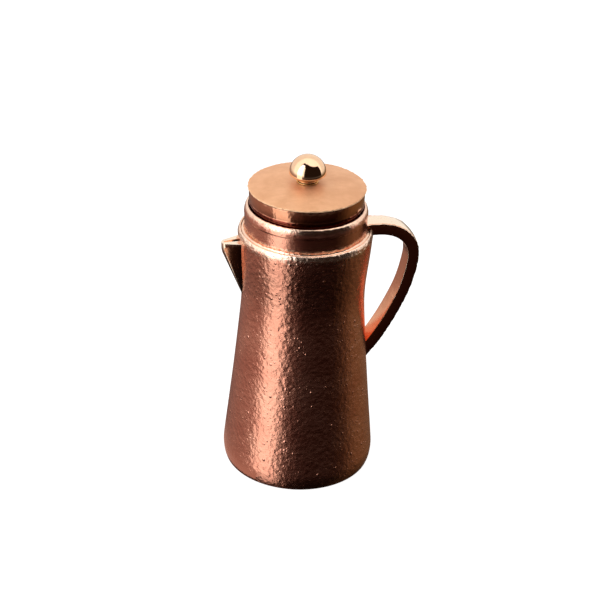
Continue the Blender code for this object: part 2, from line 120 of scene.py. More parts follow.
def calc(tree, operation, a, b=0.0, c=0.0, clamp=False):
    """Arithmetic on one to three values."""
    made = add_node(tree, "ShaderNodeMath", {0: a, 1: b, 2: c}, operation=operation)
    made.use_clamp = clamp
    return made.outputs[0]


def ramp(tree, value, stops, interpolation="LINEAR"):
    """A colour ramp. A stop is (position, grey level) or (position, (r, g, b))."""
    made = add_node(tree, "ShaderNodeValToRGB", {"Fac": value})
    made.color_ramp.interpolation = interpolation
    band = made.color_ramp.elements
    while len(band) < len(stops):
        band.new(0.5)
    for element, (position, colour) in zip(band, stops):
        element.position = position
        if not isinstance(colour, tuple):
            colour = (colour,) * 3
        element.color = (*colour, 1.0)
    return made.outputs["Color"]


def mix(tree, factor, a, b, blend="MIX"):
    """From colour a to colour b, each a socket or (r, g, b)."""
    made = add_node(tree, "ShaderNodeMix", {"Factor": factor}, data_type="RGBA", blend_type=blend)
    for socket, value in ((made.inputs[6], a), (made.inputs[7], b)):
        if isinstance(value, bpy.types.NodeSocket):
            tree.links.new(value, socket)
        else:
            socket.default_value = (*value, 1.0)
    return made.outputs[2]


def soft_step(tree, value, low, high):
    """0 below low and 1 above high, with a smooth edge. low may be above high."""
    made = add_node(tree, "ShaderNodeMapRange", {"Value": value, "From Min": low, "From Max": high},
                    interpolation_type="SMOOTHSTEP")
    return made.outputs["Result"]


def window(tree, value, low, high, edge):
    """1 between low and high, with soft edges."""
    rise = soft_step(tree, value, low - edge, low + edge)
    fall = soft_step(tree, value, high + edge, high - edge)
    return calc(tree, "MULTIPLY", rise, fall)


def placed(name, data):
    """A new object in the scene."""
    item = bpy.data.objects.new(name, data)
    scene.collection.objects.link(item)
    return item


# ---- studio ----

def studio_world():
    """A softbox, a dark card and pale walls round the object, by direction from it."""
    world = bpy.data.worlds.new("studio")
    scene.world = world
    world.use_nodes = True
    tree = world.node_tree
    tree.nodes.clear()
    place = add_node(tree, "ShaderNodeTexCoord").outputs["Generated"]
    turned = add_node(tree, "ShaderNodeVectorRotate",
                      {"Vector": place, "Angle": -CAMERA_HEADING}, rotation_type="Z_AXIS")
    split = add_node(tree, "ShaderNodeSeparateXYZ", {0: turned.outputs[0]})
    x, y, z = split.outputs
    turn = calc(tree, "MULTIPLY", calc(tree, "ARCTAN2", y, x), 180 / math.pi)
    rise = calc(tree, "MULTIPLY", calc(tree, "ARCSINE", z), 180 / math.pi)
    share = calc(tree, "ADD", calc(tree, "MULTIPLY", turn, 1 / 360), 0.5)
    front = calc(tree, "MULTIPLY_ADD", x, math.cos(CEILING_RISE),
                 calc(tree, "MULTIPLY", z, math.sin(CEILING_RISE)))

    low = ramp(tree, share, [(angle / 360 + 0.5, colour) for angle, colour in LOW_WALL])
    steep = calc(tree, "MULTIPLY_ADD", rise, 1 / FADE_RISE, 1.0)
    low = mix(tree, 1.0, low, ramp(tree, steep, LOW_WALL_FADE), "MULTIPLY")
    low = mix(tree, 1.0, low, (LOW_WALL_GAIN,) * 3, "MULTIPLY")
    high = mix(tree, soft_step(tree, front, *CEILING_EDGE), BACK_WALL, CEILING)
    light = mix(tree, soft_step(tree, rise, *LOW_WALL_TOP), low, high)

    card_top = calc(tree, "MULTIPLY_ADD", calc(tree, "MAXIMUM", turn, 0.0), CARD_SLOPE, CARD_TOP)
    below = soft_step(tree, calc(tree, "SUBTRACT", rise, card_top), 3, -3)
    card = calc(tree, "MULTIPLY", window(tree, turn, *CARD_BESIDE_TURN, 3), below)
    side = calc(tree, "MAXIMUM", window(tree, turn, *CARD_TURN, 3),
                window(tree, rise, *CARD_BESIDE_RISE, 2))
    card = calc(tree, "MULTIPLY", card, calc(
        tree, "MULTIPLY", side, soft_step(tree, rise, *CARD_FOOT)))
    light = mix(tree, card, light, CARD_COLOUR)

    box = calc(tree, "MULTIPLY", window(tree, turn, *BOX_TURN, 1.5),
               window(tree, rise, *BOX_RISE, 2))
    glow = mix(tree, soft_step(tree, rise, *BOX_MIDDLE_RISE), BOX_FAINT, BOX_MIDDLE)
    glow = mix(tree, soft_step(tree, rise, *BOX_BRIGHT_RISE), glow, BOX_BRIGHT)
    light = mix(tree, box, light, glow)
    rim = calc(tree, "MULTIPLY", window(tree, turn, *RIM_TURN, 2),
               window(tree, rise, *RIM_RISE, 3))
    light = mix(tree, rim, light, RIM_COLOUR)

    # The camera sees plain white, and everything else the surroundings.
    surroundings = add_node(tree, "ShaderNodeBackground", {"Color": light})
    plain = add_node(tree, "ShaderNodeBackground", {"Color": (1.0, 1.0, 1.0, 1.0)})
    seen = add_node(tree, "ShaderNodeLightPath").outputs["Is Camera Ray"]
    shown = add_node(tree, "ShaderNodeMixShader",
                     {0: seen, 1: surroundings.outputs[0], 2: plain.outputs[0]})
    out = add_node(tree, "ShaderNodeOutputWorld")
    tree.links.new(shown.outputs[0], out.inputs["Surface"])


def floor_part(name, corners, faces, drop):
    """A flat piece of floor with an empty material. Returns it and its node tree."""
    mesh = bpy.data.meshes.new(name)
    mesh.from_pydata(corners, [], faces)
    item = placed(name, mesh)
    item.location.z = -drop
    material = bpy.data.materials.new(name)
    material.use_nodes = True
    material.node_tree.nodes.clear()
    mesh.materials.append(material)
    return item, material.node_tree


def show(tree, first, second, share):
    """Make the surface a mix of two shaders, with a share of the second one."""
    shown = add_node(tree, "ShaderNodeMixShader",
                     {0: share, 1: first.outputs[0], 2: second.outputs[0]})
    out = add_node(tree, "ShaderNodeOutputMaterial")
    tree.links.new(shown.outputs[0], out.inputs["Surface"])


def pale_floor():
    """A large pale sheet that takes a faint shadow. Metal doesn't reflect it, and from
    underneath it is clear."""
    corners = [(x * FLOOR_HALF, y * FLOOR_HALF, 0)
               for x, y in ((-1, -1), (1, -1), (1, 1), (-1, 1))]
    floor, tree = floor_part("floor", corners, [(0, 1, 2, 3)], FLOOR_DROP)
    floor.visible_glossy = False
    glow = add_node(tree, "ShaderNodeEmission", {"Color": (1, 1, 1, 1), "Strength": FLOOR_SHINE})
    matt = add_node(tree, "ShaderNodeBsdfDiffuse", {"Color": (*(FLOOR_GREY,) * 3, 1)})
    both = add_node(tree, "ShaderNodeAddShader", {0: glow.outputs[0], 1: matt.outputs[0]})
    clear = add_node(tree, "ShaderNodeBsdfTransparent")
    behind = add_node(tree, "ShaderNodeNewGeometry").outputs["Backfacing"]
    show(tree, both, clear, behind)


def lit_floor():
    """The brightly lit part of the floor, left of the foot, that only metal sees."""
    start, end = GLOW_TURN
    corners = []
    for step in range(GLOW_STEPS + 1):
        angle = CAMERA_HEADING + math.radians(start + (end - start) * step / GLOW_STEPS)
        for radius in (GLOW_NEAR, GLOW_FAR):
            corners.append((radius * math.cos(angle), radius * math.sin(angle), 0))
    faces = [(base, base + 1, base + 3, base + 2) for base in range(0, 2 * GLOW_STEPS, 2)]
    glow, tree = floor_part("lit_floor", corners, faces, GLOW_DROP)
    glow.visible_camera = False
    glow.visible_diffuse = False
    glow.visible_shadow = False
    place = add_node(tree, "ShaderNodeTexCoord").outputs["Object"]
    away = add_node(tree, "ShaderNodeVectorMath", {0: place}, operation="LENGTH").outputs["Value"]
    bright = add_node(tree, "ShaderNodeEmission", {"Color": GLOW_COLOUR})
    clear = add_node(tree, "ShaderNodeBsdfTransparent")
    show(tree, clear, bright, soft_step(tree, away, GLOW_FAR, GLOW_FULL))


def place_camera():
    ahead = (CAMERA_TARGET - CAMERA_PLACE).normalized()
    level = ahead.cross(Vector((0, 0, 1))).normalized()
    upright = level.cross(ahead)
    right = level * math.cos(CAMERA_ROLL) + upright * math.sin(CAMERA_ROLL)
    up = upright * math.cos(CAMERA_ROLL) - level * math.sin(CAMERA_ROLL)
    lens = bpy.data.cameras.new("camera")
    lens.lens = CAMERA_LENS
    lens.sensor_width = 36.0
    lens.clip_start = 0.01
    lens.clip_end = 50.0
    camera = placed("camera", lens)
    camera.matrix_world = Matrix.Translation(CAMERA_PLACE) @ Matrix(
        (right, up, -ahead)).transposed().to_4x4()
    scene.camera = camera


# ---- materials ----

def mottle(tree, place, scale, detail, sharpness):
    """Cloudy noise from 0 to 1. The scale is in features per metre."""
    return add_node(tree, "ShaderNodeTexNoise", {
        "Vector": place, "Scale": scale, "Detail": detail, "Roughness": sharpness}).outputs["Fac"]


def bump(tree, height, depth, normal=None):
    """Raise the surface by a height of 0 to 1 times a depth in metres."""
    inputs = {"Height": height, "Distance": depth}
    if normal is not None:
        inputs["Normal"] = normal
    return add_node(tree, "ShaderNodeBump", inputs).outputs["Normal"]


def grain_bump(tree, place, layers, normal):
    """Stack bumps. A layer is (scale per metre, depth in metres, detail, sharpness)."""
    for scale, depth, detail, sharpness in layers:
        normal = bump(tree, mottle(tree, place, scale, detail, sharpness), depth, normal)
    return normal


def new_metal(name):
    """A metal material, its tree and shader, the place on the object, and its edge value of wear
    and painted light.
    """
    material = bpy.data.materials.new(name)
    material.use_nodes = True
    tree = material.node_tree
    shader = tree.nodes["Principled BSDF"]
    shader.inputs["Metallic"].default_value = 1.0
    place = add_node(tree, "ShaderNodeTexCoord").outputs["Object"]
    edge = add_node(tree, "ShaderNodeAttribute", attribute_name="wear_and_painted_light").outputs["Fac"]
    return material, tree, shader, place, edge


# The noise patterns, as features per metre, detail and sharpness
BLOTCHES, FINE_MARKS, RAGGED = (70.0, 3.0, 0.6), (900.0, 3.0, 0.65), (620.0, 4.0, 0.7)
HAZE, STREAKS = (110.0, 4.0, 0.6), (1.0, 4.0, 0.6)
BLOTCH_SHADE = [(0.35, 0.0), (0.68, 1.0)]  # noise, share of the bright colour
FINE_SHADE = [(0.28, 0.55), (0.45, 0.0)]  # noise, share of the dull colour
HAZE_SHADE = [(0.36, 0.0), (0.62, 1.0)]
STREAK_SHADE = [(0.30, 0.5), (0.52, 0.0)]
BLOTCH_ROUGHNESS = 0.10
RAGGEDNESS, RAGGED_EDGE = 2.2, (0.40, 0.75)  # how far noise moves the edge of the worn, partly painted-highlight patches, its width
WEAR_AND_HIGHLIGHT_START = (0.02, 0.25)
BUFFED_WEAR = 0.5
PAINTED_SHADE = (0.22, 0.055, 0.03)  # painted shade in the recesses under the lid
PAINTED_SHADE_START = (-0.1, -0.8)
BELOW_SATIN = (0.90, 0.80, 0.92)  # tint of the buffed part below a satin one
SATIN_EDGE = (-0.3 * MM, 0.1 * MM)
SATIN_METAL = -0.45  # change of the metallic value in the satin
CLUSTERS = [(0.40, 0.15), (0.60, 1.0)]  # noise, share of the pimples' height
SPECKS = [  # cells per metre, share with a pimple, size, depth
    (300.0, 0.34, 0.26, 1.0),
    (640.0, 0.36, 0.36, 0.50),
]


def cast_metal(name, colour, dull, worn_and_painted_light, roughness, layers, speck_depth, wear_and_highlight_share):
    """Plated casting: mottled colour, fine grain, scattered pimples, and worn edges that are
    partly painted highlight.

    Where the edge value is 1 the edge is rubbed and painted paler, in ragged patches; where
    it is negative, painted shade darkens the metal."""
    material, tree, shader, place, edge = new_metal(name)
    blotch = mottle(tree, place, *BLOTCHES)
    fine = mottle(tree, place, *FINE_MARKS)
    shade = mix(tree, ramp(tree, blotch, BLOTCH_SHADE), dull, colour)
    shade = mix(tree, ramp(tree, fine, FINE_SHADE), shade, dull)
    ragged = calc(tree, "SUBTRACT", mottle(tree, place, *RAGGED), 0.5)
    # Ragged pale patches where the edge value is high: wear, partly painted highlight.
    rubbed_and_highlit = soft_step(tree, calc(tree, "MULTIPLY_ADD", ragged, RAGGEDNESS, edge), *RAGGED_EDGE)
    rubbed_and_highlit = calc(tree, "MULTIPLY", rubbed_and_highlit, soft_step(tree, edge, *WEAR_AND_HIGHLIGHT_START))
    shade = mix(tree, calc(tree, "MULTIPLY", rubbed_and_highlit, wear_and_highlight_share), shade, worn_and_painted_light)
    # Painted shade where the edge value is negative, in the recesses under the lid.
    shade = mix(tree, soft_step(tree, edge, *PAINTED_SHADE_START), shade, PAINTED_SHADE)
    tree.links.new(shade, shader.inputs["Base Color"])
    low, high = roughness
    level = calc(tree, "MULTIPLY_ADD", fine, (high - low) * 1.2, low - (high - low) * 0.1)
    level = calc(tree, "MULTIPLY_ADD", calc(tree, "SUBTRACT", blotch, 0.5), BLOTCH_ROUGHNESS,
                 level, clamp=True)
    tree.links.new(level, shader.inputs["Roughness"])
    cluster = ramp(tree, blotch, CLUSTERS)
    normal = None
    for density, share, size, depth in SPECKS:
        cells = add_node(tree, "ShaderNodeTexVoronoi", {"Vector": place, "Scale": density})
        dome = ramp(tree, cells.outputs["Distance"], [(0.0, 1.0), (size, 0.0)], "EASE")
        choose = add_node(tree, "ShaderNodeSeparateXYZ", {0: cells.outputs["Color"]}).outputs[0]
        picked = ramp(tree, choose, [(1.0 - share, 0.0), (1.03 - share, 1.0)])
        specks = calc(tree, "MULTIPLY", calc(tree, "MULTIPLY", dome, picked), cluster)
        normal = bump(tree, specks, depth * speck_depth, normal)
    tree.links.new(grain_bump(tree, place, layers, normal), shader.inputs["Normal"])
    return material


def polished_metal(name, colour, dull, worn_and_painted_light, roughness, layers, streaks, satin=None):
    """Buffed metal with fine straight streaks, hazy patches, brighter edges and painted shade in
    the recesses.

    streaks is (stretch along x, y, z; roughness swing; depth in metres). satin is
    (height, roughness): above the height the metal is brushed, and paler."""
    material, tree, shader, place, edge = new_metal(name)
    stretch, swing, depth = streaks
    drawn = add_node(tree, "ShaderNodeMapping", {"Vector": place, "Scale": stretch}).outputs[0]
    lines = mottle(tree, drawn, *STREAKS)
    haze = mottle(tree, place, *HAZE)
    shade = mix(tree, ramp(tree, haze, HAZE_SHADE), dull, colour)
    shade = mix(tree, ramp(tree, lines, STREAK_SHADE), shade, dull)
    shade = mix(tree, calc(tree, "MULTIPLY", edge, BUFFED_WEAR, clamp=True), shade, worn_and_painted_light)
    # Painted shade where the edge value is negative, in the recesses under the lid.
    shade = mix(tree, soft_step(tree, edge, *PAINTED_SHADE_START), shade, PAINTED_SHADE)
    low, high = roughness
    level = calc(tree, "MULTIPLY_ADD", haze, high - low, low)
    if satin:
        height, brushed = satin
        z = add_node(tree, "ShaderNodeSeparateXYZ", {0: place}).outputs[2]
        above = soft_step(tree, z, *(height + edge_height for edge_height in SATIN_EDGE))
        level = mix(tree, above, level, (brushed,) * 3)
        level = add_node(tree, "ShaderNodeRGBToBW", {0: level}).outputs[0]
        shade = mix(tree, above, mix(tree, 1.0, shade, BELOW_SATIN, "MULTIPLY"), shade)
        metal = calc(tree, "MULTIPLY_ADD", above, SATIN_METAL, 1.0)
        tree.links.new(metal, shader.inputs["Metallic"])
    tree.links.new(shade, shader.inputs["Base Color"])
    level = calc(tree, "MULTIPLY_ADD", calc(tree, "SUBTRACT", lines, 0.5), swing, level,
                 clamp=True)
    tree.links.new(level, shader.inputs["Roughness"])
    normal = bump(tree, lines, depth)
    tree.links.new(grain_bump(tree, place, layers, normal), shader.inputs["Normal"])
    return material


# ---- outlines ----

def outline_of(node):
    """The (r, z) outline of a turned CAD node, read in the half plane y = 0, x > 0.

    Returns the points in order, in metres, and whether they make a closed loop. A
    solid piece's outline starts and ends on the axis."""
    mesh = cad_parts[node].data
    links = {}
    for edge in mesh.edges:
        ends = [mesh.vertices[index].co for index in edge.vertices]
        if all(abs(end.y) < TINY and end.x > -TINY for end in ends):
            low, high = [(round(end.x / TINY), round(end.z / TINY)) for end in ends]
            if low != high:
                links.setdefault(low, set()).add(high)
                links.setdefault(high, set()).add(low)
    loose = sorted(key for key, others in links.items() if len(others) == 1)
    closed = not loose
    if loose:
        here = max(loose, key=lambda key: key[1])
    else:
        here = max(links, key=lambda key: (key[1], key[0]))
    order, before = [here], None
    while True:
        ahead = sorted(key for key in links[here] if key != before and
                       (key not in order or (key == order[0] and len(order) > 2)))
        if before is None and closed:
            ahead = ahead[-1:]
        if not ahead or ahead[0] == order[0]:
            break
        before, here = here, ahead[0]
        order.append(here)
    points = [(r * TINY, z * TINY) for r, z in order]
    if not closed:
        if points[0][0] > TINY:
            points.insert(0, (0.0, points[0][1]))
        if points[-1][0] > TINY:
            points.append((0.0, points[-1][1]))
    return points, closed


def rounded(points, closed, radius):
    """Round an outline's corners: sharp ones to a radius, shallow ones over their edges.

    Returns (r, z, edge value) rows, where the value is 1 on a rounded sharp edge; the value carries
    wear, painted highlight and painted shade."""
    rows = []
    last = len(points) - 1
    for index, point in enumerate(points):
        here = Vector(point)
        if not closed and index in (0, last):
            rows.append((here, 0.0))
            continue
        back = Vector(points[index - 1]) - here
        ahead = Vector(points[(index + 1) % (last + 1)]) - here
        turn = math.pi - back.angle(ahead)
        if turn < STRAIGHT_TURN:
            rows.append((here, 0.0))
            continue
        reach = min(back.length, ahead.length) / 2
        sharp = turn > SHARP_TURN
        if sharp:
            reach = min(reach, radius * math.tan(turn / 2))
        start = here + back.normalized() * reach
        end = here + ahead.normalized() * reach
        steps = max(2, math.ceil(turn / ARC_STEP))
        for step in range(steps + 1):
            t = step / steps
            spot = start * (1 - t) ** 2 + here * 2 * t * (1 - t) + end * t ** 2
            rows.append((spot, 1.0 if sharp else 0.0))
    kept = [rows[0]]
    for row in rows[1:]:
        if (row[0] - kept[-1][0]).length > TINY:
            kept.append(row)
    if closed and (kept[0][0] - kept[-1][0]).length < TINY:
        kept.pop()
    return [(spot.x, spot.y, wear_and_painted_light) for spot, wear_and_painted_light in kept]


def denser(rows, closed, step):
    """Split an outline's long straight edges."""
    result = []
    count = len(rows)
    for index, row in enumerate(rows):
        result.append(row)
        if index == count - 1 and not closed:
            break
        following = rows[(index + 1) % count]
        length = math.hypot(following[0] - row[0], following[1] - row[1])
        parts = math.ceil(length / step)
        for part in range(1, parts):
            t = part / parts
            result.append((row[0] + (following[0] - row[0]) * t,
                           row[1] + (following[1] - row[1]) * t, min(row[2], following[2])))
    return result


# ---- meshes ----

def finished(shape, name):
    """A mesh from a bmesh, with its faces pointing outwards."""
    bmesh.ops.recalc_face_normals(shape, faces=shape.faces)
    mesh = bpy.data.meshes.new(name)
    shape.to_mesh(mesh)
    shape.free()
    return mesh


def smooth(mesh, angle):
    """Shade a mesh smooth, except at edges sharper than an angle in degrees."""
    mesh.shade_smooth()
    mesh.set_sharp_from_angle(angle=math.radians(angle))


def set_wear_and_painted_light(mesh, wear_and_painted_light):
    mesh.attributes.new("wear_and_painted_light", "FLOAT", "POINT").data.foreach_set("value", wear_and_painted_light)


def to_mesh(name, vertices, faces, wear_and_painted_light=None, smooth_below=42):
    shape = bmesh.new()
    made = [shape.verts.new(place) for place in vertices]
    for face in faces:
        shape.faces.new([made[index] for index in face])
    mesh = finished(shape, name)
    if wear_and_painted_light is not None:
        set_wear_and_painted_light(mesh, wear_and_painted_light)
    smooth(mesh, smooth_below)
    return mesh


def lathe(name, rows, closed, segments, shift=None):
    """Turn (r, z, edge value) rows about Z. shift(r, z, angle, edge value) moves a point outwards.
    """
    count = len(rows)
    vertices, wear_and_painted_light, faces = [], [], []
    at = []
    for index, (r, z, worn_and_painted_light) in enumerate(rows):
        if r < TINY:
            at.append([len(vertices)] * segments)
            vertices.append((0.0, 0.0, z))
            wear_and_painted_light.append(worn_and_painted_light)
            continue
        before = rows[index - 1] if closed or index else rows[index]
        after = rows[(index + 1) % count] if closed or index < count - 1 else rows[index]
        along = Vector((after[0] - before[0], after[1] - before[1])).normalized()
        across = Vector((-along.y, along.x))
        ring = []
        for step in range(segments):
            angle = math.tau * step / segments
            out = shift(r, z, angle, worn_and_painted_light) if shift else 0.0
            radius, height = r + across.x * out, z + across.y * out
            ring.append(len(vertices))
            vertices.append((radius * math.cos(angle), radius * math.sin(angle), height))
            wear_and_painted_light.append(worn_and_painted_light)
        at.append(ring)
    for index in range(count if closed else count - 1):
        low, high = at[index], at[(index + 1) % count]
        for step in range(segments):
            other = (step + 1) % segments
            corners = [low[step], low[other], high[other], high[step]]
            faces.append(list(dict.fromkeys(corners)))
    return to_mesh(name, vertices, faces, wear_and_painted_light)


def add_piece(name, mesh, material, body, slot, *nodes):
    """Show a piece in place of its CAD nodes."""
    item = placed(name, mesh)
    mesh.materials.clear()
    mesh.materials.append(material)
    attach(item, body)
    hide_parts(*nodes)


def applied(item):
    """An object's mesh with the modifiers applied. The object is removed."""
    bpy.context.view_layer.update()
    graph = bpy.context.evaluated_depsgraph_get()
    result = bpy.data.meshes.new_from_object(item.evaluated_get(graph))
    bpy.data.objects.remove(item, do_unlink=True)
    return result


def carve(mesh, *cutters, angle):
    """Take the cutters' meshes out of a mesh."""
    item = placed("being carved", mesh)
    tools = []
    for cutter in cutters:
        tool = placed("tool", cutter)
        remove = item.modifiers.new("Carve", "BOOLEAN")
        remove.operation = "DIFFERENCE"
        remove.solver = "EXACT"
        remove.object = tool
        tools.append(tool)
    result = applied(item)
    result.name = mesh.name
    for tool in tools:
        bpy.data.objects.remove(tool, do_unlink=True)
    smooth(result, angle)
    return result


def bevelled(mesh, width, segments, angle):
    """Round a mesh's edges that are sharper than an angle in degrees."""
    item = placed("being rounded", mesh)
    bevel = item.modifiers.new("Round", "BEVEL")
    bevel.width = width
    bevel.segments = segments
    bevel.limit_method = "ANGLE"
    bevel.angle_limit = math.radians(angle)
    bevel.use_clamp_overlap = True
    result = applied(item)
    smooth(result, 40)
    return result


def hull_mesh(name, points):
    """The convex hull of some points."""
    shape = bmesh.new()
    for place in points:
        shape.verts.new(place)
    made = bmesh.ops.convex_hull(shape, input=shape.verts)
    spare = [part for part in made["geom_interior"] if isinstance(part, bmesh.types.BMVert)]
    bmesh.ops.delete(shape, geom=spare, context="VERTS")
    return finished(shape, name)


def roughened(amount, size, seed):
    """A shift for lathe(): unevenness left by casting, strongest where the edge value is far from
    zero, on wear, painted highlight and painted shade.

    amount and size, of the broad waves, are in metres. seed moves the pattern."""
    def shift(r, z, angle, worn_and_painted_light):
        spot = Vector((r * math.cos(angle), r * math.sin(angle), z)) / size
        spot.z += seed
        broad = noise.noise(spot)
        close = noise.noise(spot * 2.7)
        return amount * (0.35 + 0.65 * abs(worn_and_painted_light)) * (broad + 0.6 * close)
    return shift


def tubes(name, lines, radius, sides, closed=False, wound=False):
    """Round wires along lines of points, as one mesh. Flat-lying wires by default;
    wound is for a coil that runs round the Z axis."""
    vertices, faces = [], []
    for line in lines:
        count = len(line)
        first = len(vertices)
        for index, place in enumerate(line):
            before = line[index - 1] if closed or index else line[0]
            after = line[(index + 1) % count] if closed or index < count - 1 else line[-1]
            along = (after - before).normalized()
            side = along.cross(Vector((-place.y, place.x, 0) if wound else (0, 0, 1)))
            side.normalize()
            up = side.cross(along)
            for step in range(sides):
                angle = math.tau * step / sides
                vertices.append(place + (side * math.cos(angle) + up * math.sin(angle)) * radius)
        for index in range(count if closed else count - 1):
            low = first + index * sides
            high = first + (index + 1) % count * sides
            for step in range(sides):
                other = (step + 1) % sides
                faces.append((low + step, low + other, high + other, high + step))
        if not closed:
            faces.append([first + step for step in range(sides)][::-1])
            faces.append([first + (count - 1) * sides + step for step in range(sides)])
    return to_mesh(name, vertices, faces, smooth_below=80)


# ---- materials in use ----

COPPER = (0.92, 0.46, 0.33)
COPPER_DULL = (0.80, 0.35, 0.25)
# Worn copper, also the pale colour that paints highlights on the shoulder band and rims.
COPPER_WORN_AND_HIGHLIGHT = (1.0, 0.76, 0.60)
GOLDEN = (0.86, 0.475, 0.26)
GOLDEN_DULL = (0.76, 0.39, 0.20)
GOLDEN_WORN = (1.0, 0.68, 0.42)
PALE_GOLD = (0.96, 0.66, 0.43)

cast_copper = cast_metal(
    "cast_copper", COPPER, COPPER_DULL, COPPER_WORN_AND_HIGHLIGHT, roughness=(0.20, 0.32),
    layers=[(430.0, 0.00034, 2.0, 0.42), (1300.0, 0.00004, 2.0, 0.5)],
    speck_depth=0.00036, wear_and_highlight_share=0.9)
# Its worn colour also paints the collar's flange and root paler against their shade, and the rim as
# a partly painted highlight.
neck_copper = cast_metal(
    "neck_copper", COPPER, COPPER_DULL, (0.98, 0.70, 0.53), roughness=(0.16, 0.28),
    layers=[(420.0, 0.00007, 3.0, 0.6), (1400.0, 0.00005, 3.0, 0.65)],
    speck_depth=0.00008, wear_and_highlight_share=0.9)
# Its worn colour is pale champagne: real wear and a painted highlight on the strap's outer face.
strap_copper = cast_metal(
    "strap_copper", (0.93, 0.46, 0.27), (0.85, 0.36, 0.19), (1.0, 0.86, 0.69),
    roughness=(0.10, 0.18), layers=[(420.0, 0.00004, 3.0, 0.6), (1500.0, 0.00003, 3.0, 0.6)],
    speck_depth=0.00005, wear_and_highlight_share=0.95)
lid_copper = polished_metal(
    "lid_copper", GOLDEN, GOLDEN_DULL, GOLDEN_WORN, roughness=(0.08, 0.18),
    layers=[(300.0, 0.00004, 3.0, 0.6)], streaks=((90.0, 900.0, 900.0), 0.06, 0.000012),
    satin=(156.2 * MM, 0.46))
knob_copper = polished_metal(
    "knob_copper", PALE_GOLD, (0.90, 0.58, 0.37), (1.0, 0.80, 0.60), roughness=(0.02, 0.08),
    layers=[(180.0, 0.000012, 2.0, 0.5)], streaks=((500.0, 500.0, 500.0), 0.02, 0.000002))
sleeve_copper = polished_metal(
    "sleeve_copper", COPPER, COPPER_DULL, COPPER_WORN_AND_HIGHLIGHT, roughness=(0.16, 0.30),
    layers=[(500.0, 0.00002, 3.0, 0.6)], streaks=((30.0, 30.0, 2600.0), 0.12, 0.000010))
brass = polished_metal(
    "turned_brass", (0.83, 0.60, 0.26), (0.66, 0.45, 0.18), (0.95, 0.76, 0.42),
    roughness=(0.14, 0.30), layers=[(700.0, 0.000012, 3.0, 0.6)],
    streaks=((30.0, 30.0, 3200.0), 0.12, 0.000010))
steel = polished_metal(
    "drawn_steel", (0.63, 0.62, 0.60), (0.50, 0.49, 0.48), (0.80, 0.79, 0.77),
    roughness=(0.14, 0.28), layers=[(700.0, 0.00001, 3.0, 0.6)],
    streaks=((1800.0, 1800.0, 90.0), 0.12, 0.000006))
sheet_steel = polished_metal(
    "sheet_steel", (0.60, 0.60, 0.58), (0.46, 0.46, 0.45), (0.78, 0.78, 0.76),
    roughness=(0.20, 0.36), layers=[(900.0, 0.00001, 3.0, 0.6)],
    streaks=((120.0, 2400.0, 2400.0), 0.14, 0.000008))
wire_steel = polished_metal(
    "wire_steel", (0.58, 0.57, 0.55), (0.38, 0.36, 0.34), (0.75, 0.74, 0.72),
    roughness=(0.22, 0.42), layers=[(1500.0, 0.00001, 3.0, 0.6)],
    streaks=((1500.0, 1500.0, 1500.0), 0.10, 0.000006))


# ---- jug ----
# The named lengths from here on are in millimetres.

def turned_piece(name, node, material, body, slot, segments, radius, step=None, shift=None,
                 worn_and_painted_light=None):
    """A CAD node turned again with finer sides and rounded corners.

    radius rounds the sharp corners and step splits the long edges, in millimetres.
    The last argument, taking (r, z) in millimetres too, gives all the wear, painted highlight
    and painted shade; without it, the sharp corners are worn."""
    points, closed = outline_of(node)
    rows = rounded(points, closed, radius * MM)
    if step:
        rows = denser(rows, closed, step * MM)
    if worn_and_painted_light:
        rows = [(r, z, min(worn_and_painted_light(r / MM, z / MM), 1.0)) for r, z, wear_and_painted_light in rows]
    mesh = lathe(name, rows, closed, segments, shift)
    add_piece(name, mesh, material, body, slot, node)


RECESS_RADIUS, RECESS_FLOOR = 29.3, 142.0
FLANGE_RADIUS, FLANGE_TOP = 31.1, 134.2
NECK_ROOT, NECK_RIM, NECK_FADE = 136.0, 147.0, 0.24
SHOULDER_FOOT, SHOULDER_FADE = 132.0, 0.25
SLEEVE_SHOWN = (146.0, 148.4)


def neck_wear_and_painted_light(r, z):
    """Rubbed rim and flange, painted paler partly as a highlight; the flange and the collar's root
    painted paler against their shade; painted shade in the recess under the lid.
    """
    if r < RECESS_RADIUS and z > RECESS_FLOOR:
        return -1.0
    if r > FLANGE_RADIUS and z < FLANGE_TOP:
        return 1.0
    if z < NECK_ROOT:
        return 0.7
    return max(1.0 - (NECK_RIM - z) * NECK_FADE, 0.0)


def shoulder_wear_and_highlight(r, z):
    """Rubbed all over, and most at the top, where the paler colour is partly a painted highlight.
    """
    return 0.70 + (z - SHOULDER_FOOT) * SHOULDER_FADE


def sleeve_painted_shade(r, z):
    """Painted shade where the gap under the lid shows the sleeve."""
    return -1.0 if SLEEVE_SHOWN[0] < z < SLEEVE_SHOWN[1] else 0.0


SHELL_RAISE = 0.3  # lifts the mouth to meet the shoulder
SHELL_WEAR, SHELL_WEAR_FADE = 0.62, 0.16  # at the top, lost per millimetre down
SHELL_WEAR_RADIUS, SHELL_WEAR_TOP = 33.5, 131.0
POUR_HOLE_FLOOR, POUR_HOLE_TOP = (118.3, 1.5), (128.4, 1.9)  # height, half width
POUR_HOLE_RADII = (25.6, 37.6)


def shell_wear(r, z):
    """Rubbed on the outside, just under the shoulder."""
    if r <= SHELL_WEAR_RADIUS:
        return 0.0
    return max(0.0, SHELL_WEAR - (SHELL_WEAR_TOP - z) * SHELL_WEAR_FADE)


